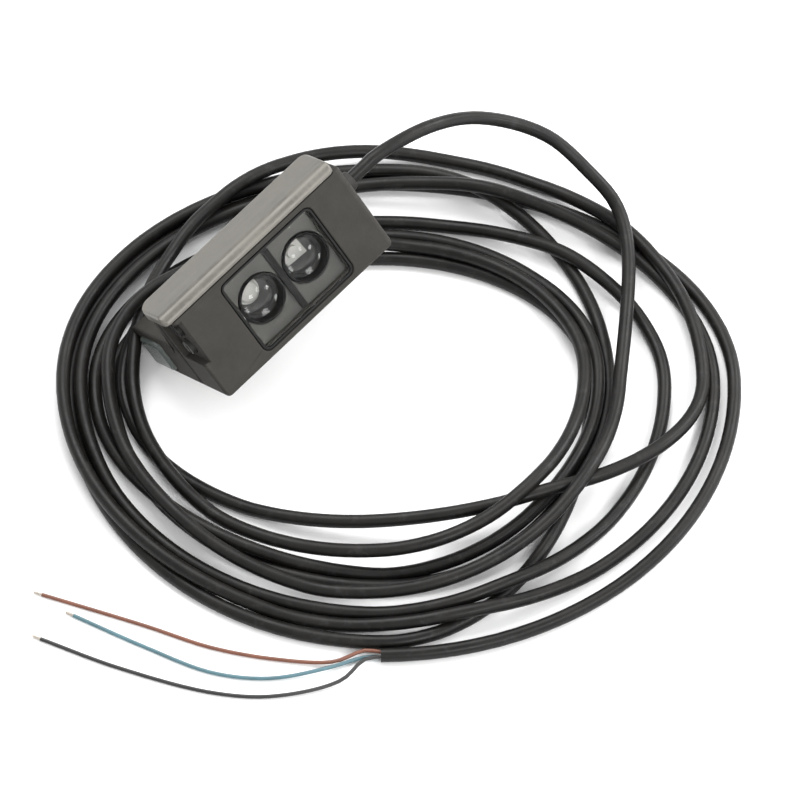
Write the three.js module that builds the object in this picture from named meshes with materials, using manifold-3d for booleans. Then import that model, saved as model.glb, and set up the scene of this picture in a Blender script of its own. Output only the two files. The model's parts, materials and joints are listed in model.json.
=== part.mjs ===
// A compact photoelectric sensor: a lens head that leans on its own coiled cable.
// Millimetres, +Z up. The head is drawn square to its own axes (X along it from the control end
// to the cable end, Y into it from the lens face, Z up to the side bar), then leaned into place.
import * as THREE from "three";
import { mergeVertices } from "three/addons/utils/BufferGeometryUtils.js";
import Module from "manifold-3d";

const wasm = await Module();
wasm.setup();

// ---- Driving dimensions ----------------------------------------------------------------------

const CLEARANCE = 0.3; // between pieces that touch on the real sensor

const LENGTH = 66; // head, control end to cable end
const HEIGHT = 33.3; // head, mounting side to the side bar's face
const BAR_THICKNESS = 3.4; // side bar
const FRONT_DEPTH = 14.3; // front housing
const TOTAL_DEPTH = 44; // lens face to the back of the amplifier box
const BOX_HEIGHT = 16; // amplifier box, behind the lower part of the front housing
const WALL = 1.8;
const FRONT_WALL = 2.4;
const CONTROL_WALL = 4; // end wall that carries the controls
const SHOULDER = 3; // radius between the lens face and the bar's face
const EDGE = 1; // small moulded edges
const CORNER = 2; // corners of the long outline

const SEAL_THICKNESS = 0.6; // between the housing halves
const FLANGE = 1.8; // rear cover's flange

const WINDOW_LENGTH = 35.7; // recess in the lens face
const WINDOW_HEIGHT = 26;
const WINDOW_X = 34.4;
const WINDOW_Z = 15;
const WINDOW_RECESS = 1.5;
const WINDOW_RADIUS = 2.6;
const WINDOW_PANE = 1;
const GASKET_WIDTH = 0.7;
const PANE_LAP = 0.3; // pane on the ledge around the opening

const LENS_PITCH = 17.2;
const LENS_DIAMETER = 12.8;
const LENS_EDGE = 1.4;
const LENS_CROWN = 1.9;
const LENS_TUBE = 14.6; // outside diameter of the tube round each lens
const BEZEL_HOLE = 15.2;
const BEZEL_THICKNESS = 1.6;
const HOLDER_LIP = 9.4; // bore behind each lens
const HOLDER_MARGIN = 0.6; // holder and board, inside the window's outline

const CONTROL_Y = 6.6;
const ADJUSTER_DOWN = 9.3; // from the bar's face
const CONTROL_PITCH = 6.6;
const NOTCH_DEPTH = 2.1; // recess round the controls, from the control end
const NOTCH_MARGIN = 4.4; // past the controls' centres
const NOTCH_LEDGE = 1.9; // left at the seam with the rear cover
const KNOB_DIAMETER = 4.6;
const KNOB_PROUD = 0.9; // knob tops, from the control end
const KNOB_SLOT = 0.9;
const SHAFT_DIAMETER = 2;

const BAR_OVERHANG = 2.3; // past the control end
const BAR_LENGTH = 66.6;
const BAR_DEPTH = 15.7;

const BOARD = 1.1;
const OPTICS_ROOM = 2.9; // from the optics board to the back of the front housing
const LED_HEIGHT = 1.9;
const MAIN_BOARD_Z = 7.6;

const INDICATOR_PROUD = 1.1;
const INDICATOR_DEPTH = 3.2; // into the box
const INDICATOR_LENGTH = 12.4;
const INDICATOR_EDGE = 2.9; // housing left round it

const CABLE_DIAMETER = 4;
const CABLE_Y = 7.3; // where the cable leaves the end
const CABLE_Z = 20.8;
const BUSH_PROUD = 2.6;
const BUSH_DIAMETER = 6.6;
const LEAD_DIAMETER = 1.1;

const SCREW_SHANK = 1.8;
const SCREW_HEAD = 4;
const SCREW_HEAD_HEIGHT = 1.3;
const POST = 5.2;
const LOW_POST_X = 6.9; // from either end
const LOW_POST_Z = 4.3; // from the mounting side
const HIGH_POST_X = [13.2, 10.6]; // from the control end and from the cable end
const HIGH_POST_Z = 3.9; // from the bar
const INSERT_DIAMETER = 4.8;
const INSERT_BORE = 2.5;
const INSERT_HEIGHT = 5;
const INSERT_X = 16; // from either end
const INSERT_Y = 31;

const YAW = 43.8; // degrees, the head's lean
const PITCH = 11.8;
const ROLL = -35.9;

const HEAD_AT = [-48.6, -22.6]; // the head's front corner, in the coil's frame
const COIL_CENTRE = [-0.4, -3.8];
const COIL_OUTER = [98.4, 86.6]; // half-widths along X and Y
const HOLE_CENTRE = [-12, -1];
const HOLE_SIZE = [64, 45];
const COIL_HEIGHT = 8;

const ROUND = 24; // sides of a small cylinder
const SMALL_ROUND = 14;

// ---- Shapes ----------------------------------------------------------------------------------

// A closed geometry as a manifold-3d solid.
function solid(geometry) {
  const bare = geometry.clone();
  bare.deleteAttribute("normal");
  bare.deleteAttribute("uv");
  const merged = mergeVertices(bare, 1e-4);
  return new wasm.Manifold(
    new wasm.Mesh({
      numProp: 3,
      vertProperties: merged.attributes.position.array,
      triVerts: new Uint32Array(merged.index.array),
    }),
  );
}

// A manifold-3d solid as a geometry.
function shape(made) {
  const mesh = made.getMesh();
  const positions = new Float32Array(mesh.numVert * 3);
  for (let i = 0; i < mesh.numVert; i++) {
    positions.set(mesh.vertProperties.subarray(i * mesh.numProp, i * mesh.numProp + 3), i * 3);
  }
  const geometry = new THREE.BufferGeometry();
  geometry.setAttribute("position", new THREE.BufferAttribute(positions, 3));
  geometry.setIndex(new THREE.BufferAttribute(mesh.triVerts, 1));
  return geometry;
}

const join = (...pieces) => pieces.reduce((all, piece) => all.add(piece));
const cut = (body, ...tools) => tools.reduce((left, tool) => left.subtract(tool), body);
const overlap = (...pieces) => pieces.reduce((all, piece) => all.intersect(piece));

// A box from its [low, high] span along each axis.
function block(x, y, z) {
  const geometry = new THREE.BoxGeometry(x[1] - x[0], y[1] - y[0], z[1] - z[0]);
  geometry.translate((x[0] + x[1]) / 2, (y[0] + y[1]) / 2, (z[0] + z[1]) / 2);
  return solid(geometry);
}

// A rectangle with its own radius at each corner, from the low corner round counter-clockwise.
function outline(across, up, radii) {
  const [left, right] = across;
  const [low, high] = up;
  const [a, b, c, d] = Array.isArray(radii) ? radii : [radii, radii, radii, radii];
  const path = new THREE.Shape();
  path.moveTo(left + a, low);
  path.lineTo(right - b, low);
  if (b) path.absarc(right - b, low + b, b, -Math.PI / 2, 0, false);
  path.lineTo(right, high - c);
  if (c) path.absarc(right - c, high - c, c, 0, Math.PI / 2, false);
  path.lineTo(left + d, high);
  if (d) path.absarc(left + d, high - d, d, Math.PI / 2, Math.PI, false);
  path.lineTo(left, low + a);
  if (a) path.absarc(left + a, low + a, a, Math.PI, Math.PI * 1.5, false);
  return path;
}

// The same outline pulled in or out by a margin.
const grown = ([low, high], margin) => [low - margin, high + margin];

const extrude = (path, depth) =>
  new THREE.ExtrudeGeometry(path, { depth, bevelEnabled: false, curveSegments: 6 });

// Drawn in (Y, Z), run along X.
function alongX(path, [low, high]) {
  const turned = new THREE.Matrix4().makeBasis(
    new THREE.Vector3(0, 1, 0),
    new THREE.Vector3(0, 0, 1),
    new THREE.Vector3(1, 0, 0),
  );
  return solid(extrude(path, high - low).applyMatrix4(turned).translate(low, 0, 0));
}

// Drawn in (X, Z), run along Y.
function alongY(path, [low, high]) {
  return solid(
    extrude(path, high - low)
      .rotateX(Math.PI / 2)
      .translate(0, high, 0),
  );
}

// Drawn in (X, Y), run along Z.
const alongZ = (path, [low, high]) => solid(extrude(path, high - low).translate(0, 0, low));

// Round pieces between two distances along an axis.
function roundX(diameter, [low, high], y, z, sides = ROUND) {
  const geometry = new THREE.CylinderGeometry(diameter / 2, diameter / 2, high - low, sides);
  return solid(geometry.rotateZ(-Math.PI / 2).translate((low + high) / 2, y, z));
}

function roundY(diameter, [low, high], x, z, sides = ROUND) {
  const geometry = new THREE.CylinderGeometry(diameter / 2, diameter / 2, high - low, sides);
  return solid(geometry.translate(x, (low + high) / 2, z));
}

function roundZ(diameter, [low, high], x, y, sides = ROUND) {
  const geometry = new THREE.CylinderGeometry(diameter / 2, diameter / 2, high - low, sides);
  return solid(geometry.rotateX(Math.PI / 2).translate(x, y, (low + high) / 2));
}

// A turned piece: [radius, distance] pairs, turned about its own axis and pointed along +X.
function turned(profile, x, y, z, sides = ROUND) {
  const points = profile.map(([radius, distance]) => new THREE.Vector2(radius, distance));
  const geometry = new THREE.LatheGeometry(points, sides);
  return solid(geometry.rotateZ(-Math.PI / 2).translate(x, y, z));
}

// A round cord along a smooth route.
function tube(points, diameter, sides, steps) {
  const route = new THREE.CatmullRomCurve3(points, false, "centripetal");
  const section = new THREE.Shape();
  for (let i = 0; i < sides; i++) {
    const turn = (i / sides) * Math.PI * 2;
    const place = [Math.cos(turn) * (diameter / 2), Math.sin(turn) * (diameter / 2)];
    if (i) section.lineTo(...place);
    else section.moveTo(...place);
  }
  section.closePath();
  return new THREE.ExtrudeGeometry(section, { extrudePath: route, steps, curveSegments: 1 });
}

// ---- Materials -------------------------------------------------------------------------------

const finish = (color, roughness, metalness = 0, more = {}) =>
  new THREE.MeshStandardMaterial({ color, roughness, metalness, ...more });

const MATERIALS = {
  housing: finish(0x4b4945, 0.6),
  plate: finish(0xb9b5ac, 0.45, 0.6),
  seal: finish(0x1b1b1a, 0.85),
  window: finish(0x8f9793, 0.08, 0, { transparent: true, opacity: 0.35 }),
  bezel: finish(0x86847d, 0.45),
  optic_black: finish(0x151514, 0.7),
  lens: finish(0xd9dedb, 0.04, 0, { transparent: true, opacity: 0.5 }),
  board: finish(0x1f5b3a, 0.5),
  chip: finish(0x161616, 0.5),
  tin: finish(0xb4b6b8, 0.35, 0.9),
  brass: finish(0xb08d45, 0.35, 0.9),
  steel: finish(0x9a9b9c, 0.35, 0.9),
  indicator: finish(0xa9bcb4, 0.3),
  knob: finish(0x2b2a28, 0.5),
  selector: finish(0x5b5b58, 0.5),
  led_red: finish(0x8c2b22, 0.2),
  led_green: finish(0x3c8f4c, 0.2),
  led_orange: finish(0xd37b24, 0.2),
  cable: finish(0x23211f, 0.55),
  brown: finish(0x6f4a3a, 0.5),
  blue: finish(0x5c7f8a, 0.5),
  black: finish(0x1c1b1a, 0.5),
};

const head = new THREE.Group();

function place(group, name, geometry, material) {
  const mesh = new THREE.Mesh(geometry, MATERIALS[material]);
  mesh.name = name;
  group.add(mesh);
  return mesh;
}

const add = (name, made, material) => place(head, name, shape(made), material);

// ---- Levels shared by neighbouring pieces ----------------------------------------------------

const OPTICS_BOARD_Y = FRONT_DEPTH - OPTICS_ROOM;
const ADJUSTER_Z = HEIGHT - ADJUSTER_DOWN;
const SELECTOR_Z = ADJUSTER_Z - CONTROL_PITCH;
const NOTCH_Z = [SELECTOR_Z - NOTCH_MARGIN, ADJUSTER_Z + NOTCH_MARGIN];
const SEAL_Y = FRONT_DEPTH + CLEARANCE;
const FLANGE_Y = SEAL_Y + SEAL_THICKNESS + CLEARANCE;
const BOX_Y = FLANGE_Y + FLANGE;
const BODY_HEIGHT = HEIGHT - BAR_THICKNESS - CLEARANCE; // both housing halves, under the bar
const INSIDE_X = [CONTROL_WALL, LENGTH - WALL];
const INSIDE_Z = [WALL, BODY_HEIGHT - WALL];
const BOX_INSIDE_X = [WALL, LENGTH - WALL];
const BOX_INSIDE_Y = [BOX_Y, TOTAL_DEPTH - WALL];
const BOX_INSIDE_Z = [WALL, BOX_HEIGHT - WALL];

const windowSpan = (margin) => [
  grown([WINDOW_X - WINDOW_LENGTH / 2, WINDOW_X + WINDOW_LENGTH / 2], -margin),
  grown([WINDOW_Z - WINDOW_HEIGHT / 2, WINDOW_Z + WINDOW_HEIGHT / 2], -margin),
];
const windowOutline = (margin) => outline(...windowSpan(margin), Math.max(WINDOW_RADIUS - margin, 0.6));

const PANE_MARGIN = CLEARANCE + GASKET_WIDTH + CLEARANCE;
const OPENING_MARGIN = PANE_MARGIN + PANE_LAP;
const LENS_X = [WINDOW_X - LENS_PITCH / 2, WINDOW_X + LENS_PITCH / 2];

const BEZEL_Y = [FRONT_WALL + CLEARANCE, FRONT_WALL + CLEARANCE + BEZEL_THICKNESS];
const HOLDER_Y = [BEZEL_Y[1] + CLEARANCE, OPTICS_BOARD_Y - CLEARANCE];
const TUBE_FRONT = BEZEL_Y[0] + 0.2;
const LENS_SEAT = HOLDER_Y[0] + 2.2; // lip behind the lenses

const POSTS = [
  [HIGH_POST_X[0], BODY_HEIGHT - HIGH_POST_Z],
  [LENGTH - HIGH_POST_X[1], BODY_HEIGHT - HIGH_POST_Z],
  [LOW_POST_X, LOW_POST_Z],
  [LENGTH - LOW_POST_X, LOW_POST_Z],
];

// ---- Housing ---------------------------------------------------------------------------------

function frontHousing() {
  const section = outline([0, FRONT_DEPTH], [0, BODY_HEIGHT], [EDGE, 0, 0, 0]);
  const plan = outline([0, LENGTH], [0, FRONT_DEPTH], [EDGE, EDGE * 2, 0, 0]);
  const outside = overlap(
    alongX(section, [0, LENGTH]),
    alongY(sideOutline(), [0, FRONT_DEPTH]),
    alongZ(plan, [0, BODY_HEIGHT]),
  );
  const hollow = block(INSIDE_X, [FRONT_WALL, FRONT_DEPTH + 1], INSIDE_Z);
  const notch = block([-1, NOTCH_DEPTH], [-1, FRONT_DEPTH - NOTCH_LEDGE], NOTCH_Z);
  const recess = alongY(windowOutline(0), [-1, WINDOW_RECESS]);
  const opening = alongY(windowOutline(OPENING_MARGIN), [-1, FRONT_WALL + 1]);
  const shell = cut(outside, hollow, notch, recess, opening);
  const posts = POSTS.map(([x, z]) => roundY(POST, [FRONT_WALL / 2, FRONT_DEPTH], x, z));
  const pilot = POSTS.map(([x, z]) =>
    roundY(SCREW_SHANK + 2 * CLEARANCE, [FRONT_WALL + 1, FRONT_DEPTH + 1], x, z, SMALL_ROUND),
  );
  const knobHole = KNOB_DIAMETER + 2 * CLEARANCE;
  const controls = [ADJUSTER_Z, SELECTOR_Z].map((z) => roundX(knobHole, [-1, CONTROL_WALL + 1], CONTROL_Y, z));
  const cableHole = roundX(BUSH_DIAMETER + 2 * CLEARANCE, [LENGTH - WALL - 1, LENGTH + 1], CABLE_Y, CABLE_Z);
  return overlap(cut(join(shell, ...posts), ...pilot, ...controls, cableHole), outside);
}

const sideOutline = () => outline([0, LENGTH], [0, BODY_HEIGHT], [CORNER, CORNER, 0, 0]);

function housingSeal() {
  const rim = alongY(sideOutline(), [SEAL_Y, SEAL_Y + SEAL_THICKNESS]);
  const inner = alongY(outline(INSIDE_X, INSIDE_Z, EDGE), [SEAL_Y - 1, FLANGE_Y]);
  const shanks = POSTS.map(([x, z]) => roundY(POST + 2 * CLEARANCE, [SEAL_Y - 1, FLANGE_Y], x, z));
  return cut(rim, inner, ...shanks);
}

function rearCover() {
  const flange = alongY(sideOutline(), [FLANGE_Y, BOX_Y]);
  const boxSection = outline([FLANGE_Y, TOTAL_DEPTH], [0, BOX_HEIGHT], [0, EDGE, EDGE * 2, 0]);
  const boxSides = alongY(outline([0, LENGTH], [0, BOX_HEIGHT], [CORNER, CORNER, EDGE, EDGE]), [
    FLANGE_Y,
    TOTAL_DEPTH,
  ]);
  const box = overlap(alongX(boxSection, [0, LENGTH]), boxSides);
  const hollow = block(BOX_INSIDE_X, [FLANGE_Y - 1, BOX_INSIDE_Y[1]], BOX_INSIDE_Z);
  const windowHole = block([-1, WALL + 1], indicatorSpanY(CLEARANCE), indicatorSpanZ(CLEARANCE));
  const lowPosts = POSTS.slice(2).map(([x, z]) => roundY(POST, [FLANGE_Y, TOTAL_DEPTH - 0.5], x, z));
  const bosses = insertPlaces().map(([x, y]) =>
    roundZ(INSERT_DIAMETER + 2 * WALL, [WALL / 2, INSERT_HEIGHT + CLEARANCE + WALL], x, y),
  );
  const shell = join(cut(join(flange, box), hollow, windowHole), ...lowPosts, ...bosses);
  const screwBack = (i) => (i < 2 ? BOX_Y : TOTAL_DEPTH);
  const shanks = POSTS.map(([x, z]) =>
    roundY(SCREW_SHANK + 2 * CLEARANCE, [FLANGE_Y - 1, TOTAL_DEPTH + 1], x, z, SMALL_ROUND),
  );
  const heads = POSTS.map(([x, z], i) =>
    roundY(SCREW_HEAD + 2 * CLEARANCE, [screwBack(i) - headSink(i), TOTAL_DEPTH + 1], x, z),
  );
  const inserts = insertPlaces().map(([x, y]) =>
    roundZ(INSERT_DIAMETER + 2 * CLEARANCE, [-1, INSERT_HEIGHT + CLEARANCE], x, y),
  );
  return cut(shell, ...shanks, ...heads, ...inserts);
}

// The lower screws' heads are sunk in the back of the box; the upper ones stand on the flange.
const headSink = (i) => (i < 2 ? 0 : SCREW_HEAD_HEIGHT + CLEARANCE);

const insertPlaces = () => [
  [INSERT_X, INSERT_Y],
  [LENGTH - INSERT_X, INSERT_Y],
];

const INDICATOR_BACK = TOTAL_DEPTH - INDICATOR_EDGE;
const indicatorSpanY = (margin) => grown([INDICATOR_BACK - INDICATOR_LENGTH, INDICATOR_BACK], margin);
const indicatorSpanZ = (margin) => grown([INDICATOR_EDGE, BOX_HEIGHT - INDICATOR_EDGE], margin);

function housingScrew(i) {
  const [x, z] = POSTS[i];
  const seat = i < 2 ? BOX_Y + CLEARANCE : TOTAL_DEPTH - headSink(i) + CLEARANCE;
  const tip = FRONT_WALL + 1 + CLEARANCE;
  const shank = roundY(SCREW_SHANK, [tip, seat + 0.1], x, z, SMALL_ROUND);
  const top = roundY(SCREW_HEAD, [seat, seat + SCREW_HEAD_HEIGHT], x, z, SMALL_ROUND);
  const back = seat + SCREW_HEAD_HEIGHT;
  const slots = [
    block([x - 1.3, x + 1.3], [back - 0.6, back + 1], [z - 0.3, z + 0.3]),
    block([x - 0.3, x + 0.3], [back - 0.6, back + 1], [z - 1.3, z + 1.3]),
  ];
  return cut(join(shank, top), ...slots);
}

function mountingInsert([x, y]) {
  const body = roundZ(INSERT_DIAMETER, [0, INSERT_HEIGHT], x, y);
  return cut(body, roundZ(INSERT_BORE, [-1, INSERT_HEIGHT + 1], x, y, SMALL_ROUND));
}

// A metal bar along the side that faces up, rounded over towards the lens face.
function sideBar() {
  const span = [-BAR_OVERHANG, BAR_LENGTH - BAR_OVERHANG];
  const low = HEIGHT - BAR_THICKNESS;
  const section = outline([0, BAR_DEPTH], [low, HEIGHT], [0, EDGE / 2, EDGE, SHOULDER]);
  const plan = outline(span, [0, BAR_DEPTH], [CORNER, CORNER, CORNER * 2, CORNER * 3]);
  const side = outline(span, [low, HEIGHT], [EDGE, EDGE / 2, EDGE, EDGE]);
  return overlap(alongX(section, span), alongZ(plan, [low, HEIGHT]), alongY(side, [0, BAR_DEPTH]));
}

add("front_housing", frontHousing(), "housing");
add("rear_cover", rearCover(), "housing");
add("housing_seal", housingSeal(), "seal");
add("side_bar", sideBar(), "plate");
POSTS.forEach((_, i) => add(`housing_screw_${i + 1}`, housingScrew(i), "steel"));
insertPlaces().forEach((spot, i) => add(`mounting_insert_${i + 1}`, mountingInsert(spot), "brass"));

// ---- Lens window and optics ------------------------------------------------------------------

function windowGasket() {
  const levels = [WINDOW_RECESS - CLEARANCE - WINDOW_PANE, WINDOW_RECESS - CLEARANCE];
  const ring = alongY(windowOutline(CLEARANCE), levels);
  return cut(ring, alongY(windowOutline(CLEARANCE + GASKET_WIDTH), grown(levels, 1)));
}

function frontWindow() {
  const levels = [WINDOW_RECESS - CLEARANCE - WINDOW_PANE, WINDOW_RECESS - CLEARANCE];
  return alongY(windowOutline(PANE_MARGIN), levels);
}

const holderOutline = () => windowOutline(HOLDER_MARGIN);

function innerBezel() {
  const plate = alongY(holderOutline(), BEZEL_Y);
  return cut(plate, ...LENS_X.map((x) => roundY(BEZEL_HOLE, grown(BEZEL_Y, 1), x, WINDOW_Z, 40)));
}

function lensHolder() {
  const body = alongY(holderOutline(), HOLDER_Y);
  const tubes = LENS_X.map((x) => roundY(LENS_TUBE, [TUBE_FRONT, HOLDER_Y[0] + 0.5], x, WINDOW_Z, 40));
  const seats = LENS_X.map((x) =>
    roundY(LENS_DIAMETER + 2 * CLEARANCE, [TUBE_FRONT - 1, LENS_SEAT], x, WINDOW_Z, 40),
  );
  const bores = LENS_X.map((x) => roundY(HOLDER_LIP, [TUBE_FRONT, HOLDER_Y[1] + 1], x, WINDOW_Z, ROUND));
  return cut(join(body, ...tubes), ...seats, ...bores);
}

// A plano-convex lens, its crown to the front.
function lens(x) {
  const back = LENS_SEAT - CLEARANCE;
  const radius = LENS_DIAMETER / 2;
  const rings = 7;
  const profile = [new THREE.Vector2(0, 0), new THREE.Vector2(radius, 0), new THREE.Vector2(radius, LENS_EDGE)];
  for (let i = 1; i < rings; i++) {
    const out = radius * (1 - i / rings);
    profile.push(new THREE.Vector2(out, LENS_EDGE + LENS_CROWN * (1 - (out / radius) ** 2)));
  }
  profile.push(new THREE.Vector2(0, LENS_EDGE + LENS_CROWN));
  const geometry = new THREE.LatheGeometry(profile, 32);
  return solid(geometry.rotateX(Math.PI).translate(x, back, WINDOW_Z));
}

function opticsBoard() {
  const span = windowSpan(HOLDER_MARGIN);
  return block(span[0], [OPTICS_BOARD_Y, OPTICS_BOARD_Y + BOARD], span[1]);
}

// A low domed lamp that looks forward from the optics board.
function emitterLed(x) {
  const back = OPTICS_BOARD_Y - CLEARANCE;
  const dome = [[2.5, 0.5], [2.1, 0.76], [1.2, 0.94], [0, 1]].map(([r, rise]) => [r, rise * LED_HEIGHT]);
  const profile = [[0, 0], [2.9, 0], [2.9, 0.5], [2.5, 0.5], ...dome];
  const points = profile.map(([radius, rise]) => new THREE.Vector2(radius, rise));
  const geometry = new THREE.LatheGeometry(points, ROUND);
  return solid(geometry.rotateX(Math.PI).translate(x, back, WINDOW_Z));
}

function photodiode(x) {
  const back = OPTICS_BOARD_Y - CLEARANCE;
  const base = block([x - 2.6, x + 2.6], [back - 1.2, back], [WINDOW_Z - 2.2, WINDOW_Z + 2.2]);
  return join(base, roundY(2.8, [back - 1.9, back - 1], x, WINDOW_Z));
}

add("window_gasket", windowGasket(), "seal");
add("front_window", frontWindow(), "window");
add("inner_bezel", innerBezel(), "bezel");
add("lens_holder", lensHolder(), "optic_black");
add("emitter_lens", lens(LENS_X[0]), "lens");
add("receiver_lens", lens(LENS_X[1]), "lens");
add("optics_board", opticsBoard(), "board");
add("emitter_led", emitterLed(LENS_X[0]), "led_red");
add("photodiode", photodiode(LENS_X[1]), "chip");

const shieldBack = OPTICS_BOARD_Y + BOARD + CLEARANCE;
add(
  "preamp_shield",
  block([LENS_X[1] - 5, LENS_X[1] + 5], [shieldBack, shieldBack + 1.5], [WINDOW_Z + 1, WINDOW_Z + 9]),
  "tin",
);

// ---- Amplifier box ---------------------------------------------------------------------------

const BOARD_X = [BOX_INSIDE_X[0] + 4.4, BOX_INSIDE_X[1] - CLEARANCE];
const BOARD_Y = [BOX_Y + 1.4, BOX_INSIDE_Y[1] - CLEARANCE];
const BOARD_TOP = MAIN_BOARD_Z + BOARD;

add("main_board", block(BOARD_X, BOARD_Y, [MAIN_BOARD_Z, BOARD_TOP]), "board");
add(
  "amplifier_chip",
  block([22, 31], [BOARD_Y[0] + 5.4, BOARD_Y[0] + 10.4], [BOARD_TOP + CLEARANCE, BOARD_TOP + CLEARANCE + 1.7]),
  "chip",
);
add(
  "output_transistor",
  block([44, 48.4], [BOARD_Y[0] + 6, BOARD_Y[0] + 9], [BOARD_TOP + CLEARANCE, BOARD_TOP + CLEARANCE + 1.4]),
  "chip",
);
add(
  "filter_capacitor",
  roundZ(5, [MAIN_BOARD_Z - CLEARANCE - 5, MAIN_BOARD_Z - CLEARANCE], 36, BOARD_Y[0] + 8),
  "tin",
);
add(
  "board_connector",
  block([28, 40], [OPTICS_BOARD_Y + BOARD + CLEARANCE, BOARD_Y[0] - CLEARANCE], [MAIN_BOARD_Z - 0.6, BOARD_TOP + 0.6]),
  "chip",
);

// Two lamps on the end of the main board shine into the translucent end window.
const LAMP_X = [WALL + INDICATOR_DEPTH - 0.2, BOARD_X[0] - CLEARANCE];
["led_green", "led_orange"].forEach((name, i) => {
  const middle = INDICATOR_BACK - INDICATOR_LENGTH * (i ? 0.26 : 0.74);
  add(
    name === "led_green" ? "stability_led" : "output_led",
    block(LAMP_X, [middle - 1.2, middle + 1.2], [MAIN_BOARD_Z - 0.4, BOARD_TOP + 0.6]),
    name,
  );
});

// A milky cap in the end of the amplifier box, rounded where it stands proud.
function indicatorWindow() {
  const spanY = indicatorSpanY(0);
  const spanZ = indicatorSpanZ(0);
  const path = outline(spanY, spanZ, EDGE * 1.4);
  const body = alongX(path, [0, INDICATOR_DEPTH]);
  const collar = block([WALL + CLEARANCE, INDICATOR_DEPTH], grown(spanY, 0.8), grown(spanZ, 0.8));
  const dome = new THREE.ExtrudeGeometry(path, {
    depth: 0.2,
    bevelThickness: INDICATOR_PROUD,
    bevelSize: INDICATOR_PROUD,
    bevelOffset: -INDICATOR_PROUD,
    bevelSegments: 3,
    curveSegments: 6,
  });
  const turnedDome = dome.applyMatrix4(
    new THREE.Matrix4().makeBasis(
      new THREE.Vector3(0, 1, 0),
      new THREE.Vector3(0, 0, 1),
      new THREE.Vector3(1, 0, 0),
    ),
  );
  return join(body, collar, solid(turnedDome));
}
add("indicator_window", indicatorWindow(), "indicator");

// ---- Controls --------------------------------------------------------------------------------

const KNOB_BACK = CONTROL_WALL - CLEARANCE;
const SEAL_X = [CONTROL_WALL + CLEARANCE, CONTROL_WALL + CLEARANCE + 0.7];
const POT_X = [SEAL_X[1] + CLEARANCE, SEAL_X[1] + CLEARANCE + 3.6];
const SHAFT_BORE = SHAFT_DIAMETER + 2 * CLEARANCE;

function knob(z, pointer) {
  const top = KNOB_PROUD;
  const body = roundX(KNOB_DIAMETER, [top, KNOB_BACK], CONTROL_Y, z);
  const shaft = roundX(SHAFT_DIAMETER, [KNOB_BACK - 0.5, POT_X[1] - 0.6], CONTROL_Y, z, SMALL_ROUND);
  const slotHalf = KNOB_SLOT / 2;
  const slot = block(
    [top - 1, top + 1],
    [CONTROL_Y - slotHalf, CONTROL_Y + slotHalf],
    [z - KNOB_DIAMETER, z + (pointer ? 0.9 : KNOB_DIAMETER)],
  );
  return cut(join(body, shaft), slot);
}

function shaftSeal(z) {
  const ring = roundX(KNOB_DIAMETER + 1, SEAL_X, CONTROL_Y, z);
  return cut(ring, roundX(SHAFT_BORE, grown(SEAL_X, 1), CONTROL_Y, z, SMALL_ROUND));
}

function controlBody(z) {
  const body = block(POT_X, [CONTROL_Y - 2.9, CONTROL_Y + 2.9], [z - 2.2, z + 2.2]);
  return cut(body, roundX(SHAFT_BORE, [POT_X[0] - 1, POT_X[1] + 1], CONTROL_Y, z, SMALL_ROUND));
}

add("sensitivity_adjuster", knob(ADJUSTER_Z, false), "knob");
add("mode_selector", knob(SELECTOR_Z, true), "selector");
add("adjuster_seal", shaftSeal(ADJUSTER_Z), "seal");
add("selector_seal", shaftSeal(SELECTOR_Z), "seal");
add("adjuster_potentiometer", controlBody(ADJUSTER_Z), "chip");
add("selector_switch", controlBody(SELECTOR_Z), "chip");

// ---- Cable entry -----------------------------------------------------------------------------

const BORE = CABLE_DIAMETER + 2 * CLEARANCE;
const CLAMP_X = [LENGTH - WALL - 5.4, LENGTH - WALL - 2.6];
const CABLE_START = CLAMP_X[0] - 1;

// A rubber bush: a collar inside the wall, a neck through it and a short tapered nose outside.
function cableBush() {
  const neck = BUSH_DIAMETER / 2;
  const inside = WALL + CLEARANCE + 1.6;
  const profile = [
    [BORE / 2, -inside],
    [neck + 1, -inside],
    [neck + 1, -WALL - CLEARANCE],
    [neck, -WALL - CLEARANCE],
    [neck, BUSH_PROUD * 0.3],
    [BORE / 2 + 0.5, BUSH_PROUD],
    [BORE / 2, BUSH_PROUD],
    [BORE / 2, -inside],
  ];
  return turned(profile, LENGTH, CABLE_Y, CABLE_Z);
}

function cableClamp() {
  const ring = roundX(BORE + 2, CLAMP_X, CABLE_Y, CABLE_Z);
  const foot = block(CLAMP_X, [CABLE_Y, FLANGE_Y - CLEARANCE], [CABLE_Z - 1.6, CABLE_Z + 1.6]);
  return cut(join(ring, foot), roundX(BORE, grown(CLAMP_X, 1), CABLE_Y, CABLE_Z));
}

add("cable_bush", cableBush(), "seal");
add("cable_clamp", cableClamp(), "steel");

// The three conductors, from the stripped end of the cable down to the main board.
const CONDUCTORS = ["brown", "black", "blue"];
CONDUCTORS.forEach((colour, i) => {
  const y = CABLE_Y + (i - 1) * 1.4;
  const drop = CABLE_START - 4 + i * 1.2;
  const landing = CABLE_START - 3.2 + i * 2;
  const route = [
    [CABLE_START - 0.4, y, CABLE_Z],
    [CABLE_START - 1.6, y, CABLE_Z - 0.1],
    [drop, y + 0.2, CABLE_Z - 2.4],
    [drop + 0.2, y + 0.4, CABLE_Z - 6.2],
    [landing, FRONT_DEPTH - 2.2, BOARD_TOP + 2.3],
    [landing, BOX_Y + 0.4, BOARD_TOP + 1.7],
    [landing, BOARD_Y[0] + 2.6, BOARD_TOP + CLEARANCE + LEAD_DIAMETER / 2],
  ].map((at) => new THREE.Vector3(...at));
  place(head, `inner_${colour}_wire`, tube(route, LEAD_DIAMETER, 8, 14), colour);
});

// ---- Leaning the head into place -------------------------------------------------------------

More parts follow.
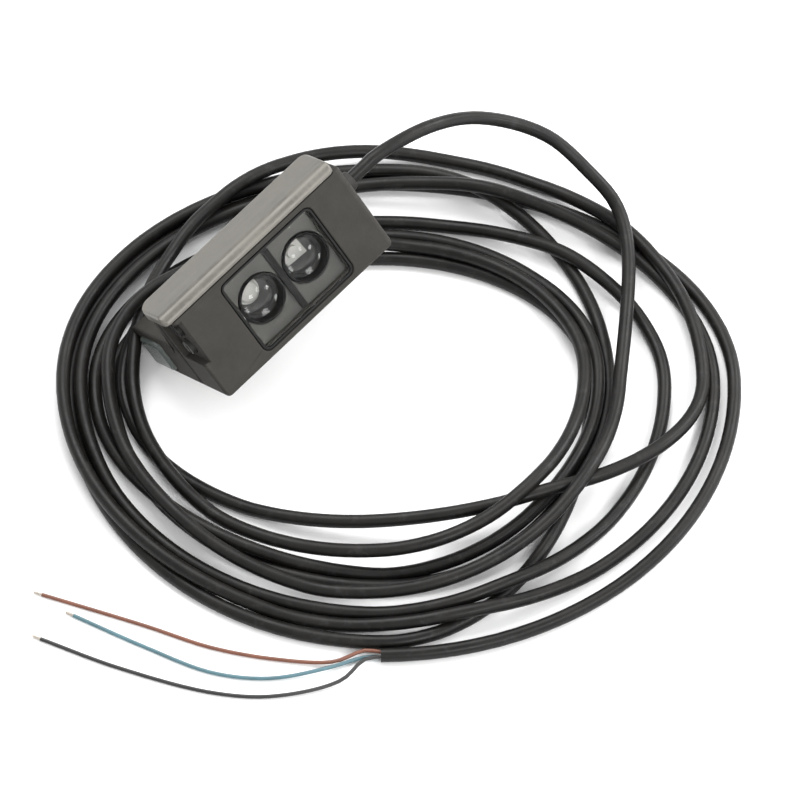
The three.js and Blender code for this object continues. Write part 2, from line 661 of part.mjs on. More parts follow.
const radians = THREE.MathUtils.degToRad;
head.rotation.set(radians(ROLL), radians(-PITCH), radians(YAW), "ZYX");
head.position.set(...HEAD_AT, 0);
head.updateMatrixWorld(true);
head.position.z = -new THREE.Box3().setFromObject(head, true).min.z;
head.updateMatrixWorld(true);
const stance = new THREE.Box3().setFromObject(head, true);

// ---- Cable -----------------------------------------------------------------------------------

// Everything stands in the coil's frame, then moves so that the head is over the origin.
const sensor = new THREE.Group();
sensor.position.set(-(stance.min.x + stance.max.x) / 2, -(stance.min.y + stance.max.y) / 2, 0);
const onHead = (x) => head.localToWorld(new THREE.Vector3(x, CABLE_Y, CABLE_Z));
const RADIUS = CABLE_DIAMETER / 2;

// Out of the bush, over the far side in an open arc and down onto the coil.
const RUN = [
  [8.1, 54.7, 50],
  [23.7, 65.2, 40],
  [42.3, 68.4, 27],
  [53.8, 62.8, 18],
  [61.8, 55, 12.6],
  [65.2, 39.8, 10],
].map((at) => new THREE.Vector3(...at));
const OUT = [CABLE_START, LENGTH - 6, LENGTH, LENGTH + 4, LENGTH + 8, LENGTH + 12];
const runRoute = [...OUT.map(onHead), ...RUN];
place(sensor, "cable_run", tube(runRoute, CABLE_DIAMETER, 10, 18), "cable");

// The loose coil: one solid ring of its outer shape, its hole off centre.
function coilRing() {
  const profile = [];
  for (let i = 0; i <= 12; i++) {
    const turn = (i / 12) * Math.PI * 2;
    profile.push(new THREE.Vector2(1.5 + 0.5 * Math.cos(turn), (1 + Math.sin(turn)) / 2));
  }
  const ring = new THREE.LatheGeometry(profile, 56).rotateX(Math.PI / 2);
  const at = ring.attributes.position;
  for (let i = 0; i < at.count; i++) {
    const radius = Math.hypot(at.getX(i), at.getY(i));
    const out = radius - 1; // 0 at the hole, 1 at the outline
    const [x, y] = [at.getX(i) / radius, at.getY(i) / radius];
    const middle = (axis) => THREE.MathUtils.lerp(HOLE_CENTRE[axis], COIL_CENTRE[axis], out);
    const reach = (axis) => THREE.MathUtils.lerp(HOLE_SIZE[axis], COIL_OUTER[axis], out);
    at.setXYZ(i, middle(0) + x * reach(0), middle(1) + y * reach(1), at.getZ(i) * COIL_HEIGHT);
  }
  return ring;
}
place(sensor, "cable_coil", coilRing(), "cable");

// The free end lies against the foot of the coil, its three leads spread over the floor.
const TAIL = [-66, -74, -83, -93].map((degrees, i) => {
  const turn = radians(degrees);
  const [x, y] = COIL_OUTER.map((reach) => reach + RADIUS + 0.45 * i * i);
  const at = [COIL_CENTRE[0] + Math.cos(turn) * x, COIL_CENTRE[1] + Math.sin(turn) * y, RADIUS];
  return new THREE.Vector3(...at);
});
place(sensor, "cable_tail", tube(TAIL, CABLE_DIAMETER, 10, 5), "cable");

const LEADS = [
  ["brown", 1, [[-19, -95.4], [-35, -94.3], [-53, -90.4], [-72, -83], [-101, -72.6]]],
  ["blue", 0, [[-21, -97.6], [-37, -100.6], [-53, -98.6], [-72, -90], [-92, -79.6]]],
  ["black", -1, [[-17, -101.6], [-35, -106.4], [-52, -105.4], [-79, -97], [-101, -87.4]]],
];
const TAIL_END = TAIL[TAIL.length - 1];
const FLAT = LEAD_DIAMETER / 2;
LEADS.forEach(([colour, aside, spread]) => {
  const lift = aside ? 0.4 : -0.8;
  const route = [
    [TAIL_END.x - 0.6, TAIL_END.y + aside * 0.75, TAIL_END.z + lift],
    [TAIL_END.x - 4.6, TAIL_END.y + aside * 1.5, TAIL_END.z + lift - 0.3],
    ...spread.map(([x, y], i) => [x, y, FLAT + 0.7 / 4 ** i]),
  ].map((at) => new THREE.Vector3(...at));
  place(sensor, `lead_${colour}`, tube(route, LEAD_DIAMETER, 8, 18), colour);
});

sensor.add(head);

export default sensor;
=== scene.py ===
"""Photoelectric sensor head leaning on its loosely coiled cable, laid out as an add-on."""

import itertools
import json
import math

import bmesh
import bpy
from bpy.props import FloatProperty, FloatVectorProperty, PointerProperty
from mathutils import Matrix, Vector, kdtree


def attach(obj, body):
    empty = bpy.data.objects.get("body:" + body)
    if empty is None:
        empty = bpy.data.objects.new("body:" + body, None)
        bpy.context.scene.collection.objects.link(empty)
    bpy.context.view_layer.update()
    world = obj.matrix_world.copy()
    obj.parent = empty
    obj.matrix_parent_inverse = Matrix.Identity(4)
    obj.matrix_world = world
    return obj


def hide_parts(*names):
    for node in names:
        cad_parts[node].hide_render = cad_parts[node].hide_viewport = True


bl_info = {
    "name": "Coiled Cable Photoelectric Sensor",
    "version": (1, 0, 0),
    "blender": (4, 5, 0),
    "location": "View3D > Sidebar > Sensor",
    "description": "Builds the finished look of a photoelectric sensor and its coiled cable",
    "category": "Object",
}

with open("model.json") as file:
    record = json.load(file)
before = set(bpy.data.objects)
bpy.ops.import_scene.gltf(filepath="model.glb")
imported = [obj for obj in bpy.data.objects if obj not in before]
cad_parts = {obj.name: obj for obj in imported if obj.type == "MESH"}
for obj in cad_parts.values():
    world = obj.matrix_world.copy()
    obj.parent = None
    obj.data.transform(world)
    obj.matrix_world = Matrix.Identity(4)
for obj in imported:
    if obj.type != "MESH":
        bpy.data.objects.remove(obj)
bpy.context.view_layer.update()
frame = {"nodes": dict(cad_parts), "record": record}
ROOT = "sensor"
MM = 0.001

# The head's own axes: X to the cable end, Y into it from the lens face, Z up to the side bar.
LENGTH = 66.0
YAW, PITCH, ROLL = math.radians(43.8), math.radians(11.8), math.radians(-35.9)
LEAN = (
    Matrix.Rotation(YAW, 4, "Z")
    @ Matrix.Rotation(-PITCH, 4, "Y")
    @ Matrix.Rotation(ROLL, 4, "X")
)
MOUNTING_FACE = Vector((33, 31, 0)) * MM
MOUNTS = {mount["name"]: mount for mount in frame["record"]["mounts"]}
HEAD_ORIGIN = Vector(MOUNTS["mounting_face"]["pos_m"]) - LEAN @ MOUNTING_FACE
HEAD = Matrix.Translation(HEAD_ORIGIN) @ LEAN
CABLE_EXIT = (LENGTH, 7.3, 20.8)
SHARP = math.radians(30)

# The coil's own frame, in which the head's front corner stands at HEAD_AT.
HEAD_AT = Vector((-48.6, -22.6)) * MM
COIL_SHIFT = Vector((HEAD_ORIGIN.x - HEAD_AT.x, HEAD_ORIGIN.y - HEAD_AT.y, 0))


def on_coil(x, y, z=0.0):
    """A point given in the coil's own millimetres, in the row frame."""
    return COIL_SHIFT + Vector((x, y, z)) * MM


def on_head(x, y, z):
    """A point given in the head's own millimetres, in the row frame."""
    return HEAD @ (Vector((x, y, z)) * MM)


# ---- Settings --------------------------------------------------------------------------------


class SensorCableSettings(bpy.types.PropertyGroup):
    diameter: FloatProperty(
        name="Cable diameter", description="Sheath diameter", default=0.004, unit="LENGTH"
    )
    lead_diameter: FloatProperty(
        name="Lead diameter", description="Insulation diameter", default=0.0011, unit="LENGTH"
    )
    step: FloatProperty(
        name="Step", description="Distance between points of the route", default=0.003, unit="LENGTH"
    )
    slope: FloatProperty(
        name="Slope", description="Steepest rise where a turn climbs over another", default=0.11
    )
    sheath: FloatVectorProperty(
        name="Sheath", description="Cable sheath", subtype="COLOR", default=(0.004, 0.0036, 0.0032)
    )


class SensorHeadSettings(bpy.types.PropertyGroup):
    housing: FloatVectorProperty(
        name="Housing", description="Moulded housing", subtype="COLOR", default=(0.033, 0.0312, 0.0278)
    )
    bar: FloatVectorProperty(
        name="Side bar", description="Satin side bar", subtype="COLOR", default=(0.135, 0.128, 0.112)
    )
    rim: FloatVectorProperty(
        name="Rim", description="Rim behind the window", subtype="COLOR", default=(0.095, 0.095, 0.088)
    )
    indicator: FloatVectorProperty(
        name="Indicator", description="Indicator cover", subtype="COLOR", default=(0.12, 0.14, 0.13)
    )
    rounding: FloatProperty(
        name="Rounding", description="Rounding of moulded edges", default=0.0004, unit="LENGTH"
    )
    wear: FloatProperty(
        name="Wear", description="How far the edges are rubbed", default=0.5, min=0, max=1
    )


class SensorStageSettings(bpy.types.PropertyGroup):
    distance: FloatProperty(
        name="Camera distance", description="From the middle of the view", default=2.0, unit="LENGTH"
    )
    elevation: FloatProperty(
        name="Elevation",
        description="Camera above the horizon",
        default=math.radians(55),
        subtype="ANGLE",
    )
    sky: FloatProperty(name="Sky", description="Strength of the even white light", default=0.9)
    view_width: FloatProperty(
        name="View width", description="Width in view at the target", default=0.2288, unit="LENGTH"
    )


# ---- Helpers ---------------------------------------------------------------------------------


def link(obj):
    bpy.context.scene.collection.objects.link(obj)
    return obj


def mesh_object(name, build):
    """A mesh object whose geometry is made by build(bm) in the row frame, in metres."""
    mesh = bpy.data.meshes.new(name)
    bm = bmesh.new()
    build(bm)
    bmesh.ops.recalc_face_normals(bm, faces=bm.faces)
    bm.to_mesh(mesh)
    bm.free()
    for polygon in mesh.polygons:
        polygon.use_smooth = True
    return link(bpy.data.objects.new(name, mesh))


def line_object(name, points, diameter):
    """A round cord as one open spline through the points."""
    curve = bpy.data.curves.new(name, "CURVE")
    curve.dimensions = "3D"
    curve.bevel_depth = diameter / 2
    curve.bevel_resolution = 4
    curve.use_fill_caps = True
    spline = curve.splines.new("POLY")
    spline.points.add(len(points) - 1)
    for place, point in zip(spline.points, points):
        place.co = (*point, 1)
    spline.use_smooth = True
    return link(bpy.data.objects.new(name, curve))


# Which two knots each blend lies between, for the three rounds that give a point of the curve.
BLENDS = (((0, 1), (1, 2), (2, 3)), ((0, 2), (1, 3)), ((1, 2),))


def smooth_route(points, step):
    """Points spaced evenly along the centripetal curve through the given points."""
    points = [Vector(p) for p in points]
    ends = [2 * points[0] - points[1], *points, 2 * points[-1] - points[-2]]
    fine = []
    for a, b, c, d in zip(ends, ends[1:], ends[2:], ends[3:]):
        knots = [0.0]
        for p, q in ((a, b), (b, c), (c, d)):
            knots.append(knots[-1] + max((q - p).length, 1e-9) ** 0.5)
        count = max(2, int((c - b).length / step * 4))
        for i in range(count):
            t = knots[1] + (knots[2] - knots[1]) * i / count
            level = [a, b, c, d]
            for spans in BLENDS:
                level = [
                    p.lerp(q, (t - knots[low]) / (knots[high] - knots[low]))
                    for p, q, (low, high) in zip(level, level[1:], spans)
                ]
            fine.append(level[0])
    fine.append(points[-1])
    return even(fine, step)


def even(points, step):
    """The same line with its points a step apart."""
    total = sum((b - a).length for a, b in zip(points, points[1:]))
    gap = total / max(1, round(total / step))
    out, carried = [points[0].copy()], 0.0
    for a, b in zip(points, points[1:]):
        length = (b - a).length
        along = gap - carried
        while along <= length:
            out.append(a.lerp(b, along / length))
            along += gap
        carried = length - (along - gap)
    if (out[-1] - points[-1]).length > gap / 2:
        out.append(points[-1].copy())
    else:
        out[-1] = points[-1].copy()
    return out


# ---- Stage -----------------------------------------------------------------------------------

VIEW_TARGET = on_coil(-0.6, -5.6)
LIGHT_TARGET = Vector((0.03, -0.02, 0))

# Name, place and size in metres, power in watts.
SOFTBOXES = (
    ("top_softbox", (-0.15, 0.45, 0.9), 0.6, 7),
    ("right_softbox", (0.7, 0.35, 0.55), 0.4, 5),
    ("front_softbox", (0.35, -0.75, 0.5), 0.16, 2.2),
    ("corner_softbox", (0.62, -0.42, 0.62), 0.16, 2.2),
    ("low_softbox", (0.9, -0.1, 0.3), 0.16, 1.8),
)


class SENSOR_OT_stage(bpy.types.Operator):
    """Make the floor, the lights and the camera"""

    bl_idname = "sensor.stage"
    bl_label = "Stage"

    def execute(self, context):
        settings = context.scene.sensor_stage
        self.floor()
        self.lights(context, settings)
        self.camera(context, settings)
        return {"FINISHED"}

    def floor(self):
        def build(bm):
            bmesh.ops.create_grid(bm, x_segments=1, y_segments=1, size=4)

        floor = mesh_object("studio_floor", build)
        floor.data.materials.append(paper_material())

    def lights(self, context, settings):
        world = bpy.data.worlds.new("studio")
        world.use_nodes = True
        background = world.node_tree.nodes["Background"]
        background.inputs["Color"].default_value = (1, 1, 1, 1)
        background.inputs["Strength"].default_value = settings.sky
        context.scene.world = world
        context.scene.view_settings.view_transform = "Standard"
        for name, place, size, power in SOFTBOXES:
            lamp = bpy.data.lights.new(name, "AREA")
            lamp.size, lamp.energy = size, power
            holder = link(bpy.data.objects.new(name, lamp))
            holder.location = place
            aim = LIGHT_TARGET - Vector(place)
            holder.rotation_euler = aim.to_track_quat("-Z", "Y").to_euler()

    def camera(self, context, settings):
        lens = bpy.data.cameras.new("view_camera")
        lens.lens = lens.sensor_width * settings.distance / settings.view_width
        lens.clip_start, lens.clip_end = 0.01, 20
        holder = link(bpy.data.objects.new("view_camera", lens))
        back = Vector((0, -math.cos(settings.elevation), math.sin(settings.elevation)))
        holder.location = VIEW_TARGET + back * settings.distance
        holder.rotation_euler = (-back).to_track_quat("-Z", "Y").to_euler()
        context.scene.camera = holder


# ---- Cable -----------------------------------------------------------------------------------

COIL_MIDDLE = Vector((-5.9, -0.95))
# How far the winding reaches to the back, the right, the front and the left of its middle, in
# millimetres, for each turn from the head to the free end.
WINDING = (
    (None, 68, 74, 78),
    (47, 58, 62, 71),
    (81, 92, 50.5, 74),
    (52, 62, 66, 82),
    (57, 81, 79, 86),
    (68, 95, 83.5, 91),
    (74, 65, 70, 77),
    (44, 60, 88.5, 89),
    (71, 101, 92.8, None),
)
QUARTER_STEPS = 24
LAYING_ROUNDS = 6

# From the bush over the far side and down onto the coil.
RUN = [
    (8.1, 54.7, 50),
    (23.7, 65.2, 40),
    (42.3, 68.4, 27),
    (53.8, 62.8, 18),
    (61.8, 55, 12.6),
    (65.2, 39.8, 10),
]
RUN_ALONG = (58.8, 66.0, 70.0, 74.0, 78.0)

# Which side of the cable's end each lead starts on, and its points along the floor.
LEADS = {
    "brown": (1, [(-19, -95.4), (-35, -94.3), (-53, -90.4), (-72, -83), (-101, -72.6)]),
    "blue": (0, [(-21, -97.6), (-37, -100.6), (-53, -98.6), (-72, -90), (-92, -79.6)]),
    "black": (-1, [(-17, -101.6), (-35, -106.4), (-52, -105.4), (-79, -97), (-101, -87.4)]),
}
LEAD_STEP = 0.0025
STRANDS = 7
STRAND_STEPS = 8


def winding_points():
    """The route from the right of the first turn to the free end, seen from above."""
    reaches = [reach for turn in WINDING for reach in turn if reach is not None]
    points = []
    for i, (this, following) in enumerate(zip(reaches, reaches[1:])):
        for k in range(QUARTER_STEPS):
            angle = math.pi / 2 * (k / QUARTER_STEPS)
            side, ahead = this * math.cos(angle), following * math.sin(angle)
            quarter = (i % 4) * math.pi / 2
            x = side * math.cos(quarter) - ahead * math.sin(quarter)
            y = -(side * math.sin(quarter) + ahead * math.cos(quarter))
            points.append(on_coil(COIL_MIDDLE.x + x, COIL_MIDDLE.y + y))
    points.append(on_coil(COIL_MIDDLE.x, COIL_MIDDLE.y - reaches[-1]))
    return points


def laid_down(points, diameter, slope):
    """Heights for a line laid from its far end to its start, each stretch on what lies under it."""
    radius = diameter / 2
    count = len(points)
    tree = kdtree.KDTree(count)
    for i, point in enumerate(points):
        tree.insert((point.x, point.y, 0), i)
    tree.balance()
    gap = (points[1] - points[0]).length
    apart = int(diameter * 4 / gap)
    near = []
    for i, point in enumerate(points):
        found = tree.find_range((point.x, point.y, 0), diameter)
        near.append([(j, distance) for _, j, distance in found if j > i + apart])
    reach = int(diameter * 3 / slope / gap)
    heights = [radius] * count
    for _ in range(LAYING_ROUNDS):
        for i in reversed(range(count)):
            need = radius
            for j, distance in near[i]:
                need = max(need, heights[j] + math.sqrt(diameter**2 - distance**2))
            heights[i] = need
        raised = list(heights)
        for i in range(count):
            if heights[i] <= radius:
                continue
            for k in range(1, reach):
                ease = heights[i] - slope * gap * k * min(1, k * gap / (diameter * 2))
                if ease <= radius:
                    break
                for j in (i - k, i + k):
                    if 0 <= j < count:
                        raised[j] = max(raised[j], ease)
        heights = [
            max(raised[i], (raised[max(0, i - 1)] + raised[i] + raised[min(count - 1, i + 1)]) / 3)
            for i in range(count)
        ]
    return heights


class SENSOR_OT_cable(bpy.types.Operator):
    """Lay the cable from the bush, through its loose turns, to its free end"""

    bl_idname = "sensor.cable"
    bl_label = "Cable"

    def execute(self, context):
        settings = context.scene.sensor_cable
        diameter = settings.diameter
        turns = even(winding_points(), settings.step)
        heights = laid_down(turns, diameter, settings.slope)
        for point, height in zip(turns, heights):
            point.z = height
        out = [on_head(x, *CABLE_EXIT[1:]) for x in RUN_ALONG]
        run = [on_coil(*point) for point in RUN]
        route = smooth_route([*out, *run, *turns[2:]], settings.step)
        cable = line_object("coiled_cable", route, diameter)
        cable.data.materials.append(sheath_material(settings.sheath))
        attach(cable, ROOT)
        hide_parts("cable_run", "cable_coil", "cable_tail")
        context.scene["cable_end"] = list(route[-1])
        return {"FINISHED"}


# ---- Leads -----------------------------------------------------------------------------------


class SENSOR_OT_leads(bpy.types.Operator):
    """Spread the three leads from the cable's end, each with its stripped strands"""

    bl_idname = "sensor.leads"
    bl_label = "Leads"

    def execute(self, context):
        settings = context.scene.sensor_cable
        end = Vector(context.scene["cable_end"])
        radius = settings.lead_diameter / 2
        for colour, (aside, spread) in LEADS.items():
            lift = 0.4 if aside else -0.8
            start = [
                end + Vector((0.4, aside * 0.7, lift)) * MM,
                end + Vector((-4.6, aside * 1.5, lift - 0.3)) * MM,
            ]
            floor_points = [
                on_coil(x, y, radius / MM + 0.7 / 4**i) for i, (x, y) in enumerate(spread)
            ]
            route = smooth_route([*start, *floor_points], LEAD_STEP)
            lead = line_object(f"{colour}_lead", route, settings.lead_diameter)
            lead.data.materials.append(wire_material(f"{colour}_insulation", LEAD_COLOURS[colour]))
            strands = self.strands(colour, route, radius)
            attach(lead, ROOT)
            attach(strands, ROOT)
            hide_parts(f"lead_{colour}")
        return {"FINISHED"}

    def strands(self, colour, route, radius):
        """Seven fine tinned wires, twisted, that stand out of the insulation's end."""
        along = (route[-1] - route[-2]).normalized()
        side = along.cross(Vector((0, 0, 1))).normalized()
        up = side.cross(along)
        wire = radius * 0.24
        around = radius * 0.5
        curve = bpy.data.curves.new(f"{colour}_strands", "CURVE")
        curve.dimensions = "3D"
        curve.bevel_depth = wire
        curve.bevel_resolution = 2
        curve.use_fill_caps = True
        for i in range(STRANDS):
            spline = curve.splines.new("POLY")
            spline.points.add(STRAND_STEPS)
            for k, place in enumerate(spline.points):
                turn = i * math.pi / 3 + k * 0.45
                out = around if i < STRANDS - 1 else 0.0
                at = route[-1] + along * (k * 0.36 * MM - 0.5 * MM)
                at += (side * math.cos(turn) + up * math.sin(turn)) * out
                place.co = (*at, 1)
        strands = link(bpy.data.objects.new(f"{colour}_strands", curve))
        tinned = metal_material(f"{colour}_tinned_copper", (0.55, 0.5, 0.44), 0.32)
        strands.data.materials.append(tinned)
        return strands


# ---- Shader groups ---------------------------------------------------------------------------


def shader_group(name, inputs, outputs):
    """An empty node group with float inputs {name: default} and outputs {name: socket type}."""
    group = bpy.data.node_groups.new(name, "ShaderNodeTree")
    for label, default in inputs.items():
        socket = group.interface.new_socket(name=label, in_out="INPUT", socket_type="NodeSocketFloat")
        socket.default_value = default
    for label, kind in outputs.items():
        group.interface.new_socket(name=label, in_out="OUTPUT", socket_type=kind)
    source = group.nodes.new("NodeGroupInput")
    result = group.nodes.new("NodeGroupOutput")
    return group, source.outputs, result.inputs


def add_node(tree, kind, settings=None, inputs=None):
    """A shader node; each input is a plain value or another node's output."""
    node = tree.nodes.new("ShaderNode" + kind)
    for label, value in (settings or {}).items():
        setattr(node, label, value)
    for label, value in (inputs or {}).items():
        if isinstance(value, bpy.types.NodeSocket):
            tree.links.new(value, node.inputs[label])
        else:
            node.inputs[label].default_value = value
    return node


def maths(tree, operation, first, second=0.0, clamp=False):
    node = add_node(tree, "Math", {"operation": operation, "use_clamp": clamp}, {0: first, 1: second})
    return node.outputs[0]


def ranged(tree, value, low, high, to_low=0.0, to_high=1.0):
    inputs = {"Value": value, "From Min": low, "From Max": high, "To Min": to_low, "To Max": to_high}
    return add_node(tree, "MapRange", None, inputs).outputs[0]


def mixed(tree, mask, first, second):
    """A colour between two, by a mask."""
    node = add_node(tree, "Mix", {"data_type": "RGBA"}, {0: mask, 6: first, 7: second})
    return node.outputs[2]


def noise(tree, vector, scale, detail=3.0, roughness=0.55):
    inputs = {"Vector": vector, "Scale": scale, "Detail": detail, "Roughness": roughness}
    return add_node(tree, "TexNoise", None, inputs).outputs["Fac"]


def place_of(tree):
    return add_node(tree, "TexCoord").outputs["Object"]


def head_place(tree):
    """The place on the head, along its own axes."""
    settings = {"vector_type": "TEXTURE"}
    inputs = {"Vector": place_of(tree), "Location": HEAD_ORIGIN, "Rotation": LEAN.to_euler()}
    return add_node(tree, "Mapping", settings, inputs).outputs[0]


def grain_group():
    """Moulded grain: fine pits in Height, and a soft blotch in Shade."""
    group = bpy.data.node_groups.get("moulded_grain")
    if group:
        return group
    group, given, result = shader_group(
        "moulded_grain",
        {"Grain Scale": 1500.0, "Blotch Scale": 60.0, "Contrast": 0.5},
        {"Height": "NodeSocketFloat", "Shade": "NodeSocketFloat"},
    )
    place = place_of(group)
    pits = noise(group, place, given["Grain Scale"], 2.0)
    cells = add_node(group, "TexVoronoi", None, {"Vector": place, "Scale": given["Grain Scale"]})
    height = maths(group, "ADD", maths(group, "MULTIPLY", pits, 0.7), cells.outputs["Distance"])
    group.links.new(height, result["Height"])
    blotch = noise(group, place, given["Blotch Scale"], 4.0)
    fine = noise(group, place, maths(group, "MULTIPLY", given["Blotch Scale"], 9.0), 3.0)
    blotch, fine = maths(group, "MULTIPLY", blotch, 0.65), maths(group, "MULTIPLY", fine, 0.35)
    both = maths(group, "ADD", blotch, fine)
    centred = maths(group, "MULTIPLY", maths(group, "SUBTRACT", both, 0.5), given["Contrast"])
    spread = maths(group, "MULTIPLY", centred, 4.0)
    group.links.new(maths(group, "ADD", spread, 0.5, True), result["Shade"])
    return group


def wear_group():
    """Edges rubbed lighter, broken up so that no edge is worn evenly."""
    group = bpy.data.node_groups.get("rubbed_edges")
    if group:
        return group
    group, given, result = shader_group(
        "rubbed_edges", {"Amount": 0.5, "Patch Scale": 350.0}, {"Mask": "NodeSocketFloat"}
    )
    edge = add_node(group, "NewGeometry").outputs["Pointiness"]
    sharp = ranged(group, edge, 0.51, 0.6)
    patches = ranged(group, noise(group, place_of(group), given["Patch Scale"], 4.0), 0.38, 0.62)
    worn = maths(group, "MULTIPLY", maths(group, "MULTIPLY", sharp, patches), given["Amount"], True)
    group.links.new(worn, result["Mask"])
    return group


def dust_group():
    """Fine dust that settles on what faces up, with a few specks."""
    group = bpy.data.node_groups.get("settled_dust")
    if group:
        return group
    group, given, result = shader_group(
        "settled_dust", {"Amount": 0.2, "Patch Scale": 120.0}, {"Mask": "NodeSocketFloat"}
    )
    normal = add_node(group, "NewGeometry").outputs["Normal"]
    up = add_node(group, "SeparateXYZ", None, {0: normal}).outputs["Z"]
    place = place_of(group)
    film = ranged(group, noise(group, place, given["Patch Scale"], 5.0, 0.65), 0.35, 0.7)
    specks = ranged(group, noise(group, place, 2600.0, 1.0), 0.7, 0.78)
    laid = maths(group, "MULTIPLY", ranged(group, up, 0.1, 0.95), maths(group, "ADD", film, specks))
    group.links.new(maths(group, "MULTIPLY", laid, given["Amount"], True), result["Mask"])
    return group


def scratch_group():
    """Fine lines brushed along the head, for metal."""
    group = bpy.data.node_groups.get("brushed_lines")
    if group:
        return group
    group, given, result = shader_group(
        "brushed_lines", {"Line Scale": 900.0, "Stretch": 0.03}, {"Height": "NodeSocketFloat"}
    )
    split = add_node(group, "SeparateXYZ", None, {0: head_place(group)}).outputs
    along = maths(group, "MULTIPLY", split["X"], given["Stretch"])
    lined = add_node(group, "CombineXYZ", None, {"X": along, "Y": split["Y"], "Z": split["Z"]})
    group.links.new(noise(group, lined.outputs[0], given["Line Scale"], 4.0, 0.6), result["Height"])
    return group


def use_group(tree, group, **values):
    """A group's outputs, its inputs set by name with spaces for underscores."""
    node = add_node(tree, "Group", {"node_tree": group})
    for label, value in values.items():
        node.inputs[label.replace("_", " ").title()].default_value = value
    return node.outputs


# ---- Materials -------------------------------------------------------------------------------

DUST = (0.42, 0.4, 0.37, 1)


def paper_material():
    """White studio paper with a faint tooth."""
    made, tree, shader = blank_material("studio_paper", 0.9)
    tooth = noise(tree, place_of(tree), 900.0, 3.0)
    tree.links.new(mixed(tree, tooth, (0.95, 0.95, 0.95, 1), (0.97, 0.97, 0.97, 1)), shader["Base Color"])
    relief(tree, shader, tooth, 0.02, 0.00005)
    return made


def shaded(colour, factor):
    return (*(min(1.0, channel * factor) for channel in colour[:3]), 1)


def blank_material(name, roughness, metallic=0.0):
    made = bpy.data.materials.new(name)
    made.use_nodes = True
    shader = made.node_tree.nodes["Principled BSDF"]
    shader.inputs["Roughness"].default_value = roughness
    shader.inputs["Metallic"].default_value = metallic
    return made, made.node_tree, shader.inputs


def relief(tree, shader, height, strength, distance):
    bump = add_node(tree, "Bump", None, {"Height": height, "Strength": strength, "Distance": distance})
    tree.links.new(bump.outputs[0], shader["Normal"])


def moulded_material(name, colour, roughness, depth=0.25, wear=0.5, dust=0.03, shine=0.25):
    """Moulded plastic or rubber: grain, soft blotches, rubbed edges and a little dust."""
    made, tree, shader = blank_material(name, roughness)
    shader["Specular IOR Level"].default_value = shine
    surface = use_group(tree, grain_group(), grain_scale=1500.0, blotch_scale=55.0, contrast=0.4)
    worn = use_group(tree, wear_group(), amount=wear, patch_scale=350.0)["Mask"]
    dusty = use_group(tree, dust_group(), amount=dust, patch_scale=120.0)["Mask"]
    base = mixed(tree, surface["Shade"], shaded(colour, 0.86), shaded(colour, 1.14))
    rubbed = mixed(tree, worn, base, shaded([0.02 + c * 1.6 for c in colour[:3]], 1))
    tree.links.new(mixed(tree, dusty, rubbed, DUST), shader["Base Color"])
    gloss = ranged(tree, surface["Shade"], 0.0, 1.0, roughness - 0.08, roughness + 0.08)
    dulled = maths(tree, "MULTIPLY", dusty, 0.3)
    tree.links.new(maths(tree, "ADD", gloss, dulled, True), shader["Roughness"])
    relief(tree, shader, surface["Height"], depth, 0.00006)
    return made


def metal_material(name, colour, roughness):
    """Plated or brushed metal: fine lines, smears and rubbed edges."""
    made, tree, shader = blank_material(name, roughness, 1.0)
    brushed = use_group(tree, scratch_group(), line_scale=900.0, stretch=0.04)["Height"]
    surface = use_group(tree, grain_group(), grain_scale=2200.0, blotch_scale=90.0, contrast=0.5)
    worn = use_group(tree, wear_group(), amount=0.5, patch_scale=400.0)["Mask"]
    dusty = use_group(tree, dust_group(), amount=0.05, patch_scale=150.0)["Mask"]
    base = mixed(tree, surface["Shade"], shaded(colour, 0.8), shaded(colour, 1.12))
    rubbed = mixed(tree, worn, base, shaded(colour, 1.35))
    tree.links.new(mixed(tree, dusty, rubbed, DUST), shader["Base Color"])
    gloss = ranged(tree, brushed, 0.25, 0.75, roughness - 0.1, roughness + 0.12)
    tree.links.new(gloss, shader["Roughness"])
    relief(tree, shader, brushed, 0.12, 0.00004)
    return made


def bar_material(colour):
    """Satin metal paint on the side bar: fine lines along it under a thin grain."""
    made, tree, shader = blank_material("side_bar_satin", 0.42, 0.35)
    brushed = use_group(tree, scratch_group(), line_scale=700.0, stretch=0.05)["Height"]
    surface = use_group(tree, grain_group(), grain_scale=1400.0, blotch_scale=85.0, contrast=1.2)
    worn = use_group(tree, wear_group(), amount=0.6, patch_scale=300.0)["Mask"]
    dusty = use_group(tree, dust_group(), amount=0.05, patch_scale=140.0)["Mask"]
    base = mixed(tree, surface["Shade"], shaded(colour, 0.7), shaded(colour, 1.2))
    lined = mixed(tree, ranged(tree, brushed, 0.3, 0.7), base, shaded(colour, 1.05))
    rubbed = mixed(tree, worn, lined, shaded(colour, 1.4))
    tree.links.new(mixed(tree, dusty, rubbed, DUST), shader["Base Color"])
    tree.links.new(ranged(tree, surface["Shade"], 0.0, 1.0, 0.34, 0.52), shader["Roughness"])
    lines = maths(tree, "MULTIPLY", brushed, 0.7)
    grain = maths(tree, "MULTIPLY", surface["Height"], 0.4)
    relief(tree, shader, maths(tree, "ADD", lines, grain), 0.3, 0.00006)
    return made


